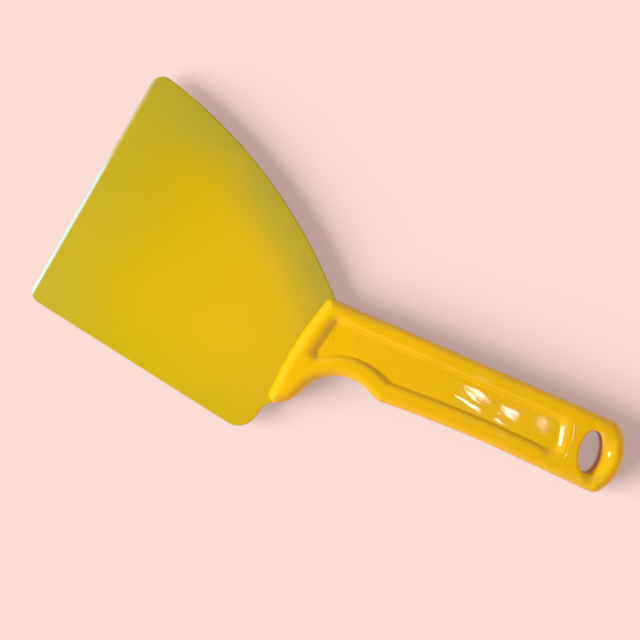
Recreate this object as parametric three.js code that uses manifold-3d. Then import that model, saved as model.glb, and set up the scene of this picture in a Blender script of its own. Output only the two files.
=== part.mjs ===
// A flexible putty knife in moulded plastic: a 100 mm blade with one curved side, whose tang is
// held inside a one-piece handle with a lug, a finger notch and a hanging hole.
//
// Millimetres, +Z up. While it is drawn, x = 0 is the working edge and x grows towards the hanging
// end, y runs along the working edge towards the curved side, and the handle's lower face is z = 0.
// The last lines move the origin to the middle of the knife's footprint.

import * as THREE from "three";
import { mergeVertices } from "three/addons/utils/BufferGeometryUtils.js";
import Module from "manifold-3d";

const wasm = await Module();
wasm.setup();

// ---------------------------------------------------------------- driving dimensions

const gap = 0.3; // clearance between pieces that touch
const arcTolerance = 0.04; // how far a round edge's facets may stray from the arc
const maxArcStep = Math.PI / 12;

const bladeRootThickness = 2;
const bladeTipThickness = 1.2;
const edgeThickness = 0.5;
const edgeBevel = 1.4; // width of the chamfer on both faces of the working edge
const flexLine = 84; // where the blade bends: 15 % of its free length in front of the handle's lip

const handleThickness = 14;
const handleEdgeRound = 2.5;
const rimWidth = 8.3; // from the handle's outline to the middle of the panel recess's wall
const recessDepth = 2.2;
const recessWall = 1.6; // plan width of the recess's rounded wall
const tangWall = 3.1; // handle plastic left between its outline and the tang
const anchorRadius = 3;
const anchors = [[114, 47], [127, 49.5]]; // handle plastic runs through the tang here

// The finger notch and the waisted underside, which the recess and the tang follow at a distance.
const notch = { x: 126.5, y: 18.05, radius: 16.8 };
const underside = { x: 237.16, y: -480.23, radius: 522.5 };
const lugBack = { x: 96.46, y: 23.91, radius: 13.6 };

// ---------------------------------------------------------------- outlines

// Each outline is a closed belt that runs anticlockwise round pulleys [x, y, radius]. A negative
// radius is a hollow curve: the pulley then lies outside the outline.

const bladeOutline = [
  [4.2, 4.1, 4.2], // square corner of the working edge
  [91.3, 4.4, 8.07], // rear lower corner
  [105.2, 6.9, -5.45], // neck below the lug
  [101.9, 14.4, 1.3], // into the lug
  [lugBack.x, lugBack.y, lugBack.radius - tangWall],
  [notch.x, notch.y, -(notch.radius + tangWall)],
  [137, 44.5, 3], // end of the tang
  [137, 54, 3],
  [106.2, 59.2, -3], // shoulder inside the lip
  [101.6, 57.75, 1.55], // rear upper corner
  [-19.37, -92.6, 194.46], // curved side
  [5, 95.3, 5], // curved corner of the working edge
];

const handleOutline = [
  [102.2, 15.1, 3.1], // tip of the lug
  [lugBack.x, lugBack.y, lugBack.radius],
  [notch.x, notch.y, -notch.radius],
  [136.81, 40.16, 7.45], // hump behind the finger notch
  [underside.x, underside.y, -underside.radius],
  [224.14, 47.61, 4.75], // lower corner of the hanging end
  [212.09, 55.02, 18.8], // hanging end
  [219.47, 64.01, 7.2], // upper corner of the hanging end
  [103.4, 55.4, 2.8], // top of the lip
  [228.3, 30.5, 130], // the lip's front, a shallow bow towards the blade
];

const recessOutline = [
  [108.2, 37.3, 1.2], // narrow front corner
  [notch.x, notch.y, -(notch.radius + rimWidth)],
  [137.2, 42.7, 1.5], // over the hump
  [underside.x, underside.y, -(underside.radius + rimWidth)],
  [202.9, 51.8, 2.3], // rear corners
  [200.2, 58.3, 2.7],
  [109.6, 49.7, 1.5], // front upper corner
];

const hangHoleOutline = oval({
  x: 217.55,
  y: 56.4,
  halfLength: 8.4,
  halfWidth: 4.6,
  tilt: 15.5,
  endRadius: 3.4,
});

// Four pulleys of an oval whose long axis leans from +y towards -x by tilt degrees.
function oval({ x, y, halfLength, halfWidth, tilt, endRadius }) {
  const lean = THREE.MathUtils.degToRad(tilt);
  const end = halfLength - endRadius;
  const sideRadius = (halfWidth ** 2 + end ** 2 - endRadius ** 2) / (2 * (halfWidth - endRadius));
  const side = sideRadius - halfWidth;
  const pulleys = [[-side, 0, sideRadius], [0, end, endRadius], [side, 0, sideRadius], [0, -end, endRadius]];
  return pulleys.map(([across, along, radius]) => [
    x + across * Math.cos(lean) - along * Math.sin(lean),
    y + across * Math.sin(lean) + along * Math.cos(lean),
    radius,
  ]);
}

// The points of the belt round the given pulleys.
function belt(pulleys) {
  const headings = pulleys.map(([x, y, radius], i) => {
    const [nextX, nextY, nextRadius] = pulleys[(i + 1) % pulleys.length];
    const lean = (nextRadius - radius) / Math.hypot(nextX - x, nextY - y);
    return Math.atan2(nextY - y, nextX - x) - Math.asin(THREE.MathUtils.clamp(lean, -1, 1));
  });
  return pulleys.flatMap(([x, y, radius], i) => {
    const arriving = headings.at(i - 1);
    const turn = Math.atan2(Math.sin(headings[i] - arriving), Math.cos(headings[i] - arriving));
    const arcStep = Math.min(maxArcStep, 2 * Math.acos(1 - arcTolerance / Math.abs(radius)));
    const steps = Math.max(1, Math.ceil(Math.abs(turn) / arcStep));
    return Array.from({ length: steps + 1 }, (_, k) => {
      const heading = arriving + (turn * k) / steps;
      return new THREE.Vector2(x + radius * Math.sin(heading), y - radius * Math.cos(heading));
    });
  });
}

// The same outline, larger by distance all round.
function grown(pulleys, distance) {
  return pulleys.map(([x, y, radius]) => [x, y, radius + distance]);
}

// ---------------------------------------------------------------- solids

function toSolid(geometry) {
  const bare = geometry.clone();
  bare.deleteAttribute("normal");
  bare.deleteAttribute("uv");
  const merged = mergeVertices(bare, 1e-4);
  return new wasm.Manifold(new wasm.Mesh({
    numProp: 3,
    vertProperties: merged.attributes.position.array,
    triVerts: new Uint32Array(merged.index.array),
  }));
}

function toMesh(name, solid, material) {
  const { vertProperties, triVerts } = solid.getMesh();
  const geometry = new THREE.BufferGeometry();
  geometry.setAttribute("position", new THREE.BufferAttribute(vertProperties, 3));
  geometry.setIndex(new THREE.BufferAttribute(triVerts, 1));
  geometry.computeVertexNormals();
  const mesh = new THREE.Mesh(geometry, material);
  mesh.name = name;
  return mesh;
}

function union(solids) {
  return solids.reduce((all, solid) => all.add(solid));
}

// A straight-sided plate of the given outline between two heights.
function plate(pulleys, bottom, top) {
  const shape = new THREE.Shape(belt(pulleys));
  const geometry = new THREE.ExtrudeGeometry(shape, { depth: top - bottom, bevelEnabled: false });
  return toSolid(geometry.translate(0, 0, bottom));
}

// A plate whose edges are rounded inwards from the outline, at both faces.
function roundedPlate(pulleys, bottom, top, roundHeight, roundWidth) {
  const shape = new THREE.Shape(belt(pulleys));
  const geometry = new THREE.ExtrudeGeometry(shape, {
    depth: top - bottom - 2 * roundHeight,
    bevelThickness: roundHeight,
    bevelSize: roundWidth,
    bevelOffset: -roundWidth,
    bevelSegments: 4,
  });
  return toSolid(geometry.translate(0, 0, bottom + roundHeight));
}

// A side profile of [x, z] points swept from y = -reach to y = reach, past both sides of the blade.
function acrossBlade(profile) {
  const reach = 120;
  const shape = new THREE.Shape(profile.map(([x, z]) => new THREE.Vector2(x, z)));
  const geometry = new THREE.ExtrudeGeometry(shape, { depth: 2 * reach, bevelEnabled: false });
  return toSolid(geometry.rotateX(Math.PI / 2).translate(0, reach, 0));
}

// Upright pins where the handle's plastic runs through the tang.
function anchorPins(radius) {
  const height = 4 * bladeRootThickness;
  return union(anchors.map(([x, y]) => {
    const pin = new THREE.CylinderGeometry(radius, radius, height, 24);
    return toSolid(pin.rotateX(Math.PI / 2).translate(x, y, midHeight));
  }));
}

// ---------------------------------------------------------------- pieces

const midHeight = handleThickness / 2;
const rootHalf = bladeRootThickness / 2;

// The whole blade seen from above, with the anchor holes in its tang.
function bladeBlank(margin, halfThickness) {
  const blank = plate(grown(bladeOutline, margin), midHeight - halfThickness, midHeight + halfThickness);
  return blank.subtract(anchorPins(anchorRadius - margin));
}

// The part of the blade that bends away. It thins towards the working edge, and its rear end is a
// half round on the bending line, so it turns against the fixed strip without touching it.
function flexingBlade() {
  const tipHalf = bladeTipThickness / 2;
  const edgeHalf = edgeThickness / 2;
  const knuckleSteps = 8;
  const knuckle = Array.from({ length: knuckleSteps + 1 }, (_, k) => {
    const angle = -Math.PI / 2 + (Math.PI * k) / knuckleSteps;
    return [flexLine + rootHalf * Math.cos(angle), midHeight + rootHalf * Math.sin(angle)];
  });
  const profile = acrossBlade([
    [0, midHeight - edgeHalf],
    [edgeBevel, midHeight - tipHalf],
    ...knuckle,
    [edgeBevel, midHeight + tipHalf],
    [0, midHeight + edgeHalf],
  ]);
  return bladeBlank(0, rootHalf).intersect(profile);
}

// The root of the blade and its tang, which the handle grips.
function bladeTang() {
  const front = flexLine + rootHalf + gap;
  const beyondTang = 160;
  const profile = acrossBlade([
    [front, 0],
    [beyondTang, 0],
    [beyondTang, handleThickness],
    [front, handleThickness],
  ]);
  return bladeBlank(0, rootHalf).intersect(profile);
}

function handle() {
  const overshoot = 3;
  const body = roundedPlate(handleOutline, 0, handleThickness, handleEdgeRound, handleEdgeRound);
  const recessMouth = grown(recessOutline, recessWall / 2);
  const upperRecess = roundedPlate(
    recessMouth, handleThickness - recessDepth, handleThickness + overshoot + recessDepth,
    recessDepth, recessWall,
  );
  const lowerRecess = roundedPlate(
    recessMouth, -overshoot - recessDepth, recessDepth, recessDepth, recessWall,
  );
  const hangHole = plate(hangHoleOutline, -overshoot, handleThickness + overshoot);
  const tangSlot = bladeBlank(gap, rootHalf + gap);
  return body.subtract(union([upperRecess, lowerRecess, hangHole])).subtract(tangSlot);
}

// ---------------------------------------------------------------- the knife

const handlePlastic = new THREE.MeshStandardMaterial({ color: 0xe8b015, roughness: 0.3, metalness: 0 });
const bladePlastic = new THREE.MeshStandardMaterial({ color: 0xdcb400, roughness: 0.45, metalness: 0 });

const knife = new THREE.Group();
knife.add(
  toMesh("handle", handle(), handlePlastic),
  toMesh("blade_tang", bladeTang(), bladePlastic),
  toMesh("blade", flexingBlade(), bladePlastic),
);

const footprint = new THREE.Box3().setFromObject(knife).getCenter(new THREE.Vector3());
knife.position.set(-footprint.x, -footprint.y, 0);
knife.updateMatrixWorld(true);

export default knife;
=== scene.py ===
"""Looks of a flexible putty knife: a moulded yellow blade and a one-piece glossy handle.

Shapes are drawn in millimetres: x = 0 is the working edge and x grows towards the hanging end, y runs
along the working edge towards the blade's curved side, and z = 0 is the face that the handle lies on.
to_row() turns them into the frame's metres.
"""

import math

import bpy
import numpy as np
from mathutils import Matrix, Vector
from mathutils.geometry import delaunay_2d_cdt


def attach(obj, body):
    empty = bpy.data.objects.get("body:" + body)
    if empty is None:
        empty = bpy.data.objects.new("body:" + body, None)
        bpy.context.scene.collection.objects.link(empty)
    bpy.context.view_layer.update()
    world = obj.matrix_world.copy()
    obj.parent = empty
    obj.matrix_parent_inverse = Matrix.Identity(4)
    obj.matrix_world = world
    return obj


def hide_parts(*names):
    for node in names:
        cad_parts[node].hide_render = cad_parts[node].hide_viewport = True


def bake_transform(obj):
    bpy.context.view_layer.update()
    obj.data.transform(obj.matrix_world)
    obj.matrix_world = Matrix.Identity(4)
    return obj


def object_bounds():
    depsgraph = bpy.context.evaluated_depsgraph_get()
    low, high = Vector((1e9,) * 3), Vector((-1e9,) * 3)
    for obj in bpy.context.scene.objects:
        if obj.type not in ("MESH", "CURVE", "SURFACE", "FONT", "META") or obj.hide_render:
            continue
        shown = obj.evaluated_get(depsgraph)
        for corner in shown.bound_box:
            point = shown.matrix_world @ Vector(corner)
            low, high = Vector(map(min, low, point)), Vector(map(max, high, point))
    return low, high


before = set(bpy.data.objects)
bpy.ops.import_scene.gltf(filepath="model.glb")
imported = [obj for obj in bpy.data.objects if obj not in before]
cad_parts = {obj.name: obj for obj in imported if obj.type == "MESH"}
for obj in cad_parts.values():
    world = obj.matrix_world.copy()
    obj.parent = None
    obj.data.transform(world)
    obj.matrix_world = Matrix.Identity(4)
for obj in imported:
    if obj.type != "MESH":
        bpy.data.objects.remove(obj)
cad_low, cad_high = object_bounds()

# ---------------------------------------------------------------- sizes, in millimetres

MM = 0.001
HALF_THICKNESS = (cad_high[2] - cad_low[2]) / MM / 2

# Radii of the handle's rounded edges. The hanging hole's rim has one at its front, one at its rear.
LUG_ROUND = 4.6
GRIP_ROUND = 3.2
END_ROUND = 4.4
HOLE_RIM_ROUND = 1.3, 6.6
HOLE_UNDERSIDE_ROUND = 1.0

# The panel recess: its depth, how far its walls spread beyond the outline, its floor's corner radius.
RECESS_DEPTH = 2.2
RECESS_WALL = 2.8
RECESS_FRONT_WALL = 4.6
RECESS_REAR_WALL = 5.2
RECESS_FLOOR_ROUND = 0.6

# The handle is meshed on a grid over this box, then its points settle on the exact surface.
HANDLE_BOX = (97.0, 10.0, -1.0), (232.5, 73.5, 2 * HALF_THICKNESS + 1.0)
HANDLE_CELL = 0.4
SETTLE_STEPS = 3
SLOPE_STEP = 0.03

# Half thicknesses of the blade, the width of its sharpened bevel, and its mesh spacing.
BLADE_ROOT_HALF = 1.0
BLADE_TIP_HALF = 0.6
WORKING_EDGE_HALF = 0.15
WORKING_EDGE_BEVEL = 1.3
BLADE_EDGE_ROUND = 0.35
BLADE_CELL = 1.6
BLADE_INSETS = [0.0, 0.05, 0.15, 0.35, 0.7, 1.1, 1.45, 1.75, 1.85, 2.3]
BORDER_SPACING = 1.2
ARC_SPACING = 0.8
LEAST_ARC_STEPS = 6

# Pulleys shared by several outlines, the rim round the recess, and the outline's lowest y.
RIM_WIDTH = 8.3
NOTCH = (126.5, 18.05, 16.8)
UNDERSIDE = (237.16, -480.23, 522.5)
LUG_BACK = (96.46, 23.91, 13.6)
LOWEST_Y = 4.4 - 8.07

# ---------------------------------------------------------------- outlines

# An outline is a closed belt that runs anticlockwise round pulleys (x, y, radius). A negative radius
# is a hollow curve: the pulley then lies outside the outline.

CURVED_SIDE = (-19.37, -92.6, 194.46)
BLADE = [
    (4.2, 4.1, 4.2),
    (91.3, 4.4, 8.07),
    (105.2, 6.9, -5.45),
    (104.2, 16.5, 1.5),
    (107.5, 54.0, 1.5),
    (103.0, 57.0, 1.5),
    CURVED_SIDE,
    (5, 95.3, 5),
]
HANDLE = [
    (102.2, 15.1, 3.1),
    LUG_BACK,
    (NOTCH[0], NOTCH[1], -NOTCH[2]),
    (136.81, 40.16, 7.45),
    (UNDERSIDE[0], UNDERSIDE[1], -UNDERSIDE[2]),
    (224.14, 47.61, 4.75),
    (212.09, 55.02, 18.8),
    (219.47, 64.01, 7.2),
    (103.4, 55.4, 2.8),
    (228.3, 30.5, 130),
]
RECESS = [
    (108.2, 37.3, 1.2),
    (NOTCH[0], NOTCH[1], -(NOTCH[2] + RIM_WIDTH)),
    (137.2, 42.7, 1.5),
    (UNDERSIDE[0], UNDERSIDE[1], -(UNDERSIDE[2] + RIM_WIDTH)),
    (202.9, 51.8, 2.3),
    (200.2, 58.3, 2.7),
    (109.6, 49.7, 1.5),
]


def oval(x, y, half_length, half_width, tilt, end_radius):
    """Four pulleys of an oval whose long axis leans from +Y towards -X by tilt degrees."""
    along = -math.sin(math.radians(tilt)), math.cos(math.radians(tilt))
    across = along[1], -along[0]
    end = half_length - end_radius
    side_radius = (half_width ** 2 + end ** 2 - end_radius ** 2) / (2 * (half_width - end_radius))
    side = side_radius - half_width
    places = [
        (-side, 0, side_radius), (0, end, end_radius),
        (side, 0, side_radius), (0, -end, end_radius),
    ]
    return [
        (x + a * across[0] + b * along[0], y + a * across[1] + b * along[1], radius)
        for a, b, radius in places
    ]


HANG_HOLE = oval(217.55, 56.4, 8.4, 4.6, 15.5, 3.4)


def to_row(points):
    """Points in this file's millimetres, in the frame's metres."""
    offset = (cad_low[0], cad_low[1] - LOWEST_Y * MM, cad_low[2])
    return np.asarray(points) * MM + np.array(offset)


def belt(pulleys):
    """The arcs (x, y, radius, first heading, turn) of the belt round the pulleys."""
    headings = []
    for (x, y, radius), (next_x, next_y, next_radius) in zip(pulleys, pulleys[1:] + pulleys[:1]):
        lean = (next_radius - radius) / math.hypot(next_x - x, next_y - y)
        headings.append(math.atan2(next_y - y, next_x - x) - math.asin(max(-1, min(1, lean))))
    arcs = []
    for i, (x, y, radius) in enumerate(pulleys):
        turn = math.remainder(headings[i] - headings[i - 1], math.tau)
        arcs.append((x, y, radius, headings[i - 1], turn))
    return arcs


def on_arc(arc, share):
    """The point at that share of the way along an arc."""
    x, y, radius, heading, turn = arc
    heading += turn * share
    return x + radius * math.sin(heading), y - radius * math.cos(heading)


def outline_distance(pulleys, px, py):
    """Distance from points to an outline, negative inside it."""
    nearest = np.full(np.shape(px), np.inf)
    arcs = belt(pulleys)
    for arc, following in zip(arcs, arcs[1:] + arcs[:1]):
        x, y, radius, heading, turn = arc
        side = math.copysign(1, radius)
        middle = heading + turn / 2 - side * math.pi / 2
        bearing = np.arctan2(py - y, px - x) - middle
        bearing = np.abs(np.arctan2(np.sin(bearing), np.cos(bearing)))
        distance = side * np.hypot(px - x, py - y) - radius
        nearer = (bearing <= abs(turn) / 2 + 1e-6) & (np.abs(distance) < np.abs(nearest))
        nearest = np.where(nearer, distance, nearest)
        start, end = on_arc(arc, 1), on_arc(following, 0)
        length = math.dist(start, end)
        if length < 1e-6:
            continue
        run_x, run_y = (end[0] - start[0]) / length, (end[1] - start[1]) / length
        along = (px - start[0]) * run_x + (py - start[1]) * run_y
        distance = (px - start[0]) * run_y - (py - start[1]) * run_x
        nearer = (along >= 0) & (along <= length) & (np.abs(distance) < np.abs(nearest))
        nearest = np.where(nearer, distance, nearest)
    return nearest


def smooth(low, high, value):
    """0 below low, 1 above high, and a smooth step between them."""
    t = np.clip((value - low) / (high - low), 0, 1)
    return t * t * (3 - 2 * t)


# ---------------------------------------------------------------- handle

# Round ejector-pin marks (x, y, radius) on the upper face.
PIN_MARKS = [(112.4, 46.4, 2.7), (213.3, 66.1, 1.5), (214.5, 48.4, 1.5)]
PIN_MARK_DEPTH = 0.1


def face_height(x, y):
    """Height of the handle's upper face above its middle plane."""
    recess = outline_distance(RECESS, x, y)
    wall = RECESS_WALL + (RECESS_FRONT_WALL - RECESS_WALL) * (1 - smooth(107, 116, x))
    wall = wall + (RECESS_REAR_WALL - RECESS_WALL) * smooth(198, 205, x)
    sink = RECESS_DEPTH * np.clip(1 - recess / wall, 0, 2) ** 2.4
    blend = np.clip(0.5 + (RECESS_DEPTH - sink) / (2 * RECESS_FLOOR_ROUND), 0, 1)
    sink = sink * blend + RECESS_DEPTH * (1 - blend) - RECESS_FLOOR_ROUND * blend * (1 - blend)
    height = HALF_THICKNESS - sink
    for mark_x, mark_y, radius in PIN_MARKS:
        away = np.hypot(x - mark_x, y - mark_y)
        height = height - PIN_MARK_DEPTH * (1 - smooth(radius - 0.4, radius + 0.4, away))
    return height


def round_corner(a, b, radius):
    """Where two solids overlap, given their distances, with the shared edge rounded."""
    return np.minimum(np.maximum(a, b), -radius) + np.hypot(
        np.maximum(a + radius, 0), np.maximum(b + radius, 0)
    )


def handle_plan(x, y):
    """What the handle's shape needs at each place seen from above."""
    edge_round = GRIP_ROUND + (LUG_ROUND - GRIP_ROUND) * (1 - smooth(112, 132, x))
    edge_round = edge_round + (END_ROUND - GRIP_ROUND) * smooth(205, 220, x)
    front, rear = HOLE_RIM_ROUND
    rim_round = front + (rear - front) * smooth(217, 224, x)
    side = outline_distance(HANDLE, x, y)
    return side, face_height(x, y), -outline_distance(HANG_HOLE, x, y), edge_round, rim_round


def handle_distance(plan, z):
    """Distance to the handle's surface, negative inside the plastic."""
    side, face, hole, edge_round, rim_round = plan
    body = round_corner(side, np.abs(z - HALF_THICKNESS) - face, edge_round)
    return round_corner(body, hole, np.where(z > HALF_THICKNESS, rim_round, HOLE_UNDERSIDE_ROUND))


def slope_at(points, step=SLOPE_STEP):
    """Value and gradient of the handle's distance at each point."""
    x, y, z = points.T
    plan = handle_plan(x, y)
    value = handle_distance(plan, z)
    slope = np.stack([
        handle_distance(handle_plan(x + step, y), z) - handle_distance(handle_plan(x - step, y), z),
        handle_distance(handle_plan(x, y + step), z) - handle_distance(handle_plan(x, y - step), z),
        handle_distance(plan, z + step) - handle_distance(plan, z - step),
    ], axis=1) / (2 * step)
    return value, slope


def surface_net(field, low, cell):
    """Vertices and quads of the surface where a grid of distances crosses zero."""
    inside = field < 0
    corners = [(i, j, k) for i in (0, 1) for j in (0, 1) for k in (0, 1)]
    shape = np.array(field.shape) - 1

    def at(corner, grid):
        i, j, k = corner
        return grid[i:i + shape[0], j:j + shape[1], k:k + shape[2]]

    count = sum(at(c, inside).astype(int) for c in corners)
    mixed = (count > 0) & (count < 8)
    number = np.full(mixed.shape, -1)
    number[mixed] = np.arange(mixed.sum())
    cells = np.argwhere(mixed)
    total, crossings = np.zeros((len(cells), 3)), np.zeros(len(cells))
    for a in corners:
        for axis in range(3):
            if a[axis]:
                continue
            b = tuple(1 if n == axis else v for n, v in enumerate(a))
            value_a, value_b = at(a, field)[mixed], at(b, field)[mixed]
            crosses = (value_a < 0) != (value_b < 0)
            share = np.where(crosses, value_a / np.where(crosses, value_a - value_b, 1), 0)
            point = cells + np.array(a, float)
            point[:, axis] += share
            total += np.where(crosses[:, None], point, 0)
            crossings += crosses
    vertices = low + cell * total / crossings[:, None]

    quads = []
    for axis in range(3):
        first = np.moveaxis(inside, axis, 0)
        numbers = np.moveaxis(number, axis, 0)
        crosses = first[:-1, 1:-1, 1:-1] != first[1:, 1:-1, 1:-1]
        leaving = first[:-1, 1:-1, 1:-1][crosses]
        ring = [numbers[:, :-1, :-1], numbers[:, 1:, :-1], numbers[:, 1:, 1:], numbers[:, :-1, 1:]]
        quad = np.stack([n[crosses] for n in ring], axis=1)
        flip = leaving if axis == 1 else ~leaving
        quad[flip] = quad[flip][:, ::-1]
        quads.append(quad)
    return vertices, np.concatenate(quads)


def new_piece(name, vertices, faces, material):
    """A smooth-shaded mesh object made from points in millimetres."""
    mesh = bpy.data.meshes.new(name)
    mesh.from_pydata(to_row(vertices).tolist(), [], faces)
    mesh.polygons.foreach_set("use_smooth", [True] * len(mesh.polygons))
    mesh.materials.append(material)
    piece = bpy.data.objects.new(name, mesh)
    bpy.context.scene.collection.objects.link(piece)
    return piece


def make_handle(material):
    """The grip as one closed mesh, with how deep in the hanging hole each point lies, for the painted
    shade there.
    """
    low, high = np.array(HANDLE_BOX)
    axes = [np.arange(a, b, HANDLE_CELL) for a, b in zip(low, high)]
    x, y = np.meshgrid(axes[0], axes[1], indexing="ij")
    plan = [p[:, :, None] for p in handle_plan(x, y)]
    field = handle_distance(plan, axes[2][None, None, :])
    vertices, quads = surface_net(field, low, HANDLE_CELL)
    for _ in range(SETTLE_STEPS):
        value, slope = slope_at(vertices)
        vertices -= slope * (value / (slope ** 2).sum(axis=1))[:, None]
    piece = new_piece("handle_grip", vertices, quads.tolist(), material)
    _, slope = slope_at(vertices)
    normals = slope / np.linalg.norm(slope, axis=1)[:, None]
    piece.data.normals_split_custom_set_from_vertices(normals.tolist())
    # Painted shade: a mask for the dark orange painted on the hanging hole's walls, where little
    # light reaches.
    from_bore = outline_distance(HANG_HOLE, vertices[:, 0], vertices[:, 1])
    from_middle = np.abs(vertices[:, 2] - HALF_THICKNESS)
    depth = (1 - smooth(0, 3, from_bore)) * (1 - smooth(1, 5.5, from_middle))
    piece.data.attributes.new("bore_painted_shade", "FLOAT", "POINT").data.foreach_set("value", depth)
    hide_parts("handle")
    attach(piece, "handle")
    return piece


# ---------------------------------------------------------------- blade

def blade_half(x):
    """Half the blade's thickness: a chamfer at the working edge, then a slow taper up to the root."""
    bevel = np.clip(x / WORKING_EDGE_BEVEL, 0, 1)
    tip = WORKING_EDGE_HALF + (BLADE_TIP_HALF - WORKING_EDGE_HALF) * bevel
    taper = np.clip((x - WORKING_EDGE_BEVEL) / (100 - WORKING_EDGE_BEVEL), 0, 1)
    return tip + (BLADE_ROOT_HALF - BLADE_TIP_HALF) * taper


def ring(pulleys, inset):
    """Points round an outline, moved inwards by inset, with the same count for every inset."""
    points = []
    for arc, inner in zip(belt(pulleys), belt([(x, y, r - inset) for x, y, r in pulleys])):
        steps = max(LEAST_ARC_STEPS, math.ceil(abs(arc[2] * arc[4]) / ARC_SPACING))
        points += [on_arc(inner, k / steps) for k in range(steps + 1)]
    return points


def rim_painted_light(x, y):
    """Painted light, 0 to 1: how much paler the sheet is drawn, as light let through its thin rim
    would make it; most along its curved side, less along the other edges.
    """
    centre_x, centre_y, radius = CURVED_SIDE
    curved_side = 1 - smooth(-4, 26, radius - np.hypot(x - centre_x, y - centre_y))
    working_edge = 0.5 * (1 - smooth(0, 40, x))
    straight_side = (0.65 - 0.2 * smooth(5, 50, x)) * (1 - smooth(-4, 26, y))
    return 1 - (1 - curved_side) * (1 - working_edge) * (1 - straight_side)


def make_blade(material):
    """The whole sheet in one closed mesh: loops inside the outline, then a filled middle."""
    outer = ring(BLADE, 0)
    divisions = [
        max(1, math.ceil(math.dist(a, b) / BORDER_SPACING))
        for a, b in zip(outer, outer[1:] + outer[:1])
    ]
    loops = []
    for inset in BLADE_INSETS:
        base = ring(BLADE, inset)
        loop = []
        for a, b, steps in zip(base, base[1:] + base[:1], divisions):
            loop += [(a[0] + (b[0] - a[0]) * k / steps, a[1] + (b[1] - a[1]) * k / steps)
                     for k in range(steps)]
        loops.append(loop)
    count = len(loops[0])

    inner = np.array(loops[-1])
    low, high = inner.min(axis=0), inner.max(axis=0)
    gx, gy = np.meshgrid(*[np.arange(a, b, BLADE_CELL) for a, b in zip(low, high)])
    inside = outline_distance(BLADE, gx, gy) < -(BLADE_INSETS[-1] + BLADE_CELL / 2)
    filling = [Vector(p) for p in inner] + [Vector(p) for p in zip(gx[inside], gy[inside])]
    border = [(k, (k + 1) % count) for k in range(count)]
    filled, _, triangles, sources, _, _ = delaunay_2d_cdt(filling, border, [], 1, 1e-6)
    filled = np.array([tuple(p) for p in filled])
    came_from = {source: n for n, group in enumerate(sources) for source in group}

    plan = np.concatenate([np.array(loop) for loop in loops[:-1]] + [filled])
    depth = np.clip(-outline_distance(BLADE, plan[:, 0], plan[:, 1]), 0, None)
    half = blade_half(plan[:, 0])
    radius = np.minimum(BLADE_EDGE_ROUND, half * 0.9)
    drop = radius - np.sqrt(np.clip(radius ** 2 - np.clip(radius - depth, 0, None) ** 2, 0, None))
    rise = half - drop

    faces = []
    total = len(plan)
    first_fill = count * (len(loops) - 1)
    last = [first_fill + came_from[k] for k in range(count)]
    rows = [[row * count + k for k in range(count)] for row in range(len(loops) - 1)] + [last]
    for row_a, row_b in zip(rows, rows[1:]):
        for k in range(count):
            n = (k + 1) % count
            corners = (row_a[k], row_a[n], row_b[n], row_b[k])
            faces.append(tuple(dict.fromkeys(corners)))
    faces += [tuple(first_fill + v for v in triangle) for triangle in triangles]
    lower = [tuple(v + total for v in reversed(face)) for face in faces]
    wall = [(k, k + total, n + total, n) for k, n in border]
    top = np.column_stack([plan, HALF_THICKNESS + rise])
    bottom = np.column_stack([plan, HALF_THICKNESS - rise])
    piece = new_piece("flexible_blade", np.concatenate([top, bottom]), faces + lower + wall, material)
    # Painted light along the rim, for the material to read.
    tint = piece.data.attributes.new("rim_painted_light", "FLOAT", "POINT")
    tint.data.foreach_set("value", np.tile(rim_painted_light(*plan.T), 2))
    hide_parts("blade", "blade_tang")
    return piece


# ---------------------------------------------------------------- materials

def srgb(red, green, blue):
    """A colour given as it looks on a screen, 0 to 255, as the linear colour that shaders use."""
    def linear(value):
        value /= 255
        return value / 12.92 if value <= 0.04045 else ((value + 0.055) / 1.055) ** 2.4
    return linear(red), linear(green), linear(blue), 1


class Nodes:
    """A material's node tree, with short calls for the nodes used here."""

    def __init__(self, name, **constants):
        self.material = bpy.data.materials.new(name)
        self.material.use_nodes = True
        self.tree = self.material.node_tree
        self.shader = self.tree.nodes["Principled BSDF"]
        for socket, value in constants.items():
            self.shader.inputs[socket.replace("_", " ")].default_value = value

    def add(self, kind, inputs, **settings):
        node = self.tree.nodes.new(kind)
        for key, value in settings.items():
            setattr(node, key, value)
        for socket, value in inputs.items():
            if isinstance(value, bpy.types.NodeSocket):
                self.tree.links.new(value, node.inputs[socket])
            else:
                node.inputs[socket].default_value = value
        return node

    def place(self, scale=(1, 1, 1)):
        """Object coordinates in millimetres from the origin, stretched by scale."""
        where = self.add("ShaderNodeTexCoord", {}).outputs["Object"]
        scale = [v / MM for v in scale]
        return self.add("ShaderNodeMapping", {"Vector": where, "Scale": scale}).outputs["Vector"]

    def noise(self, where, size, detail=2.0, roughness=0.5):
        """Noise from 0 to 1 with blobs of about that size."""
        inputs = {"Vector": where, "Scale": 1 / size, "Detail": detail, "Roughness": roughness}
        return self.add("ShaderNodeTexNoise", inputs).outputs["Fac"]

    def math(self, operation, a, b):
        return self.add("ShaderNodeMath", {0: a, 1: b}, operation=operation).outputs[0]

    def ramp(self, value, low, high, start=0.0, end=1.0):
        """start where value is below low, end where it is above high, smooth between."""
        inputs = {"Value": value, "From Min": low, "From Max": high, "To Min": start, "To Max": end}
        node = self.add("ShaderNodeMapRange", inputs, interpolation_type="SMOOTHSTEP")
        return node.outputs["Result"]

    def mix(self, share, a, b):
        """The colour a where share is 0 and b where it is 1."""
        return self.add("ShaderNodeMix", {0: share, 6: a, 7: b}, data_type="RGBA").outputs[2]

    def bump(self, height, depth, normal=None):
        """Relief of that depth in millimetres where height goes from 0 to 1."""
        inputs = {"Height": height, "Distance": depth * MM, "Strength": 1.0}
        if normal:
            inputs["Normal"] = normal
        return self.add("ShaderNodeBump", inputs).outputs["Normal"]

    def finish(self, **links):
        for socket, value in links.items():
            self.tree.links.new(value, self.shader.inputs[socket.replace("_", " ")])
        return self.material


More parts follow.
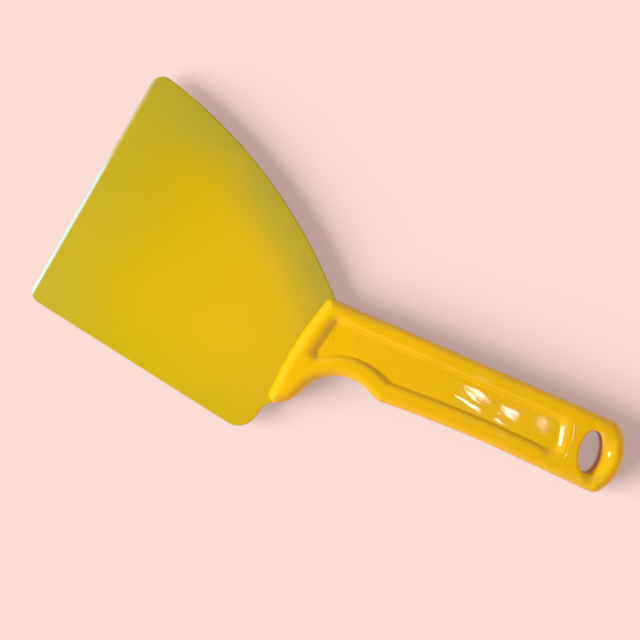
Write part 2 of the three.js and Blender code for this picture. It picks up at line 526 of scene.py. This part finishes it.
def handle_plastic():
    """Glossy injection-moulded yellow: faint flow waves, long polishing marks, orange peel, and
    painted shade in the hanging hole.
    """
    n = Nodes("handle_plastic", Specular_IOR_Level=0.5)
    cloudy = n.noise(n.place(), 18, detail=3)
    colour = n.mix(n.ramp(cloudy, 0.35, 0.7), srgb(250, 190, 0), srgb(245, 186, 2))
    # Painted shade: dark orange on the hanging hole's walls, deep in the hole, with rougher plastic
    # there too.
    bore_painted_shade = n.add("ShaderNodeAttribute", {}, attribute_name="bore_painted_shade").outputs["Fac"]
    colour = n.mix(bore_painted_shade, colour, srgb(190, 100, 0))
    scuffs = n.noise(n.place((0.3, 1, 1)), 0.9, detail=4, roughness=0.7)
    roughness = n.ramp(scuffs, 0.6, 0.85, 0.04, 0.08)
    roughness = n.math("ADD", roughness, n.math("MULTIPLY", bore_painted_shade, 0.5))
    waves = n.bump(n.noise(n.place((0.6, 1, 1)), 12, detail=0), 0.08)
    polish = n.bump(n.noise(n.place((0.28, 1, 1)), 2.2, detail=0), 0.020, waves)
    peel = n.bump(n.noise(n.place(), 0.8, detail=2), 0.002, polish)
    return n.finish(Base_Color=colour, Roughness=roughness, Normal=peel)


def blade_plastic():
    """Satin yellow, with painted light: paler and greener where the thin sheet's rim lets light
    through, and a painted highlight along the working edge's bevel.
    """
    n = Nodes("blade_plastic", Specular_IOR_Level=0.15)
    where = n.place()
    axes = n.add("ShaderNodeSeparateXYZ", {"Vector": where}).outputs
    # Painted light: the rim is drawn paler and greener, its tint bluer high up and near the working
    # edge.
    pale = n.add("ShaderNodeAttribute", {}, attribute_name="rim_painted_light").outputs["Fac"]
    from_working_edge = n.math("SUBTRACT", axes["X"], cad_low[0] / MM)
    height = n.math("SUBTRACT", axes["Y"], cad_low[1] / MM - LOWEST_Y)
    drift = n.noise(where, 30, detail=2)
    pale = n.math("MULTIPLY", pale, n.ramp(drift, 0.3, 0.7, 0.8, 1.1))
    core = n.mix(n.ramp(from_working_edge, 10, 80), srgb(199, 166, 0), srgb(226, 178, 0))
    rim_light_shift = n.math("MAXIMUM", n.ramp(height, 8, 34), n.ramp(from_working_edge, 10, 50, 1, 0))
    rim = n.mix(rim_light_shift, srgb(172, 162, 0), srgb(175, 159, 45))
    colour = n.mix(pale, core, rim)
    flow = n.noise(n.place((0.12, 1, 1)), 2.5, detail=4, roughness=0.6)
    colour = n.mix(n.ramp(flow, 0.45, 0.8, 0, 0.04), colour, srgb(170, 150, 10))
    # Painted highlight: pale cyan along the working edge's bevel, fading towards the curved side.
    near_edge = n.ramp(from_working_edge, 0.7, 1.4, 1, 0)
    painted_edge_highlight = n.math("MULTIPLY", near_edge, n.ramp(height, 54, 68, 1, 0.25))
    colour = n.mix(painted_edge_highlight, colour, srgb(188, 214, 200))
    roughness = n.ramp(from_working_edge, 1.1, 1.5, 0.20, 0.26)
    waves = n.bump(n.noise(where, 24, detail=1), 0.08)
    fine = n.bump(n.noise(where, 0.5, detail=3), 0.004, waves)
    return n.finish(Base_Color=colour, Roughness=roughness, Normal=fine)


# ---------------------------------------------------------------- scene

WORLD_LIGHT = 0.22
FLOOR_HALF = 6.0  # metres

# The camera hangs over this point of the knife, that far above its middle plane.
CAMERA_X, CAMERA_Y = 102.3, 48.5
CAMERA_HEIGHT = 600
CAMERA_LENS = 87.25
CAMERA_TURN = 29.95

# Where the lamps on the left point.
LEFT_TARGET = (100, 40, 7)

# Streaks of light on the recess floor (x, y, twice the length). Each is the mirror image of a small
# lamp as high as the camera, with light in proportion to its length.
GLINTS = [(168, 51, 14), (182.5, 53, 16), (197, 57, 4)]
GLINT_WIDTH = 2.4
GLINT_ENERGY = 0.0004
RECESS_FLOOR_Z = 12

handle_piece = make_handle(handle_plastic())
blade_piece = make_blade(blade_plastic())
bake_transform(blade_piece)


def make_floor():
    """A plain pale sheet under the knife."""
    size = FLOOR_HALF
    mesh = bpy.data.meshes.new("floor")
    mesh.from_pydata([(-size, -size, 0), (size, -size, 0), (size, size, 0), (-size, size, 0)],
                     [], [(0, 1, 2, 3)])
    floor = bpy.data.objects.new("floor", mesh)
    bpy.context.scene.collection.objects.link(floor)
    n = Nodes("floor_paper", Roughness=0.95, Specular_IOR_Level=0.05)
    fibres = n.noise(n.place(), 40, detail=2)
    colour = n.mix(fibres, srgb(251, 222, 214), srgb(250, 221, 213))
    mesh.materials.append(n.finish(Base_Color=colour))
    return floor


def make_camera():
    """Straight above the knife, turned so that the working edge runs up to the right."""
    camera = bpy.data.cameras.new("camera")
    camera.sensor_width = 36
    camera.lens = CAMERA_LENS
    seat = bpy.data.objects.new("camera", camera)
    seat.location = to_row((CAMERA_X, CAMERA_Y, HALF_THICKNESS + CAMERA_HEIGHT))
    seat.rotation_euler = (0, 0, math.radians(CAMERA_TURN))
    bpy.context.scene.collection.objects.link(seat)
    bpy.context.scene.camera = seat


def make_world():
    """Dim even light; a mirror sees it dark overhead and bright towards the horizon."""
    world = bpy.data.worlds.new("studio")
    bpy.context.scene.world = world
    world.use_nodes = True
    nodes, links = world.node_tree.nodes, world.node_tree.links
    path = nodes.new("ShaderNodeLightPath")
    where = nodes.new("ShaderNodeTexCoord")
    axes = nodes.new("ShaderNodeSeparateXYZ")
    links.new(where.outputs["Generated"], axes.inputs[0])
    dome = nodes.new("ShaderNodeMapRange")
    dome.interpolation_type = "SMOOTHSTEP"
    for socket, value in {"From Min": 0.6, "From Max": 1.0, "To Min": 0.6, "To Max": 0.1}.items():
        dome.inputs[socket].default_value = value
    links.new(axes.outputs["Z"], dome.inputs["Value"])
    even = nodes["Background"]
    even.inputs["Color"].default_value = (1, 1, 1, 1)
    even.inputs["Strength"].default_value = WORLD_LIGHT
    mirrored = nodes.new("ShaderNodeBackground")
    links.new(dome.outputs["Result"], mirrored.inputs["Strength"])
    seen = nodes.new("ShaderNodeBackground")
    seen.inputs["Color"].default_value = srgb(251, 222, 213)
    shine = nodes.new("ShaderNodeMixShader")
    links.new(path.outputs["Is Glossy Ray"], shine.inputs[0])
    links.new(even.outputs[0], shine.inputs[1])
    links.new(mirrored.outputs[0], shine.inputs[2])
    mixer = nodes.new("ShaderNodeMixShader")
    links.new(path.outputs["Is Camera Ray"], mixer.inputs[0])
    links.new(shine.outputs[0], mixer.inputs[1])
    links.new(seen.outputs[0], mixer.inputs[2])
    links.new(mixer.outputs[0], nodes["World Output"].inputs["Surface"])


def aim(light_object, place, target):
    """Puts a light at place in the scene, shining at target."""
    light_object.location = place
    light_object.rotation_euler = (Vector(place) - Vector(target)).to_track_quat("Z", "Y").to_euler()
    bpy.context.scene.collection.objects.link(light_object)


def only_lights(light_object, pieces):
    """Keeps a light off everything but these pieces."""
    group = bpy.data.collections.new(light_object.name + "_receivers")
    for piece in pieces:
        group.objects.link(piece)
    light_object.light_linking.receiver_collection = group


def sun(name, direction, energy, softness, colour, receivers):
    """A distant light from that direction; energy 3.14 alone lights a facing white sheet to 1."""
    lamp = bpy.data.lights.new(name, "SUN")
    lamp.energy, lamp.angle, lamp.color = energy, math.radians(softness), colour
    light_object = bpy.data.objects.new(name, lamp)
    aim(light_object, Vector(direction), (0, 0, 0))
    only_lights(light_object, receivers)


def panel(name, place, target, size, energy, colour, receivers, mirrored):
    """A rectangular soft light in this file's millimetres, seen in glossy surfaces if mirrored."""
    lamp = bpy.data.lights.new(name, "AREA")
    lamp.shape = "RECTANGLE"
    lamp.size, lamp.size_y = size[0] * MM, size[1] * MM
    lamp.energy, lamp.color = energy, colour
    light_object = bpy.data.objects.new(name, lamp)
    aim(light_object, to_row(place).tolist(), to_row(target).tolist())
    light_object.visible_glossy = mirrored
    only_lights(light_object, receivers)


floor = make_floor()
make_camera()
make_world()
knife = [handle_piece, blade_piece]
for piece in knife:
    piece.visible_diffuse = False  # so that it throws no orange light on the floor
sun("shadow_sun", (-0.70, -0.56, 0.454), 3.65, 45, (0.93, 1, 1), [floor])
sun("floor_top_sun", (0, 0, 1), 0.96, 100, (1, 0.87, 0.87), [floor])
panel("top_panel", (150, 45, 480), (150, 45, 0), (260, 260), 0.62, (0.86, 1, 1), knife, False)
panel("left_panel", (-327, -178, 306), LEFT_TARGET, (150, 150), 2.4, (1, 1, 1), knife, False)
# The key lamp is nearer than left_panel, which would otherwise hide its mirror image.
panel("key_lamp", (-312, -170, 296), LEFT_TARGET, (100, 100), 0.85, (1, 1, 1), knife, True)
panel("warm_fill", (600, 60, 190), (150, 50, 7), (200, 200), 0.45, (1, 0.45, 0), knife, False)
for x, y, length in GLINTS:
    above = (2 * x - CAMERA_X, 2 * y - CAMERA_Y, HALF_THICKNESS + CAMERA_HEIGHT)
    size, energy = (GLINT_WIDTH, length), GLINT_ENERGY * length
    panel("glint_lamp", above, (x, y, RECESS_FLOOR_Z), size, energy, (1, 1, 1), knife, True)
bpy.context.scene.view_settings.view_transform = "Standard"
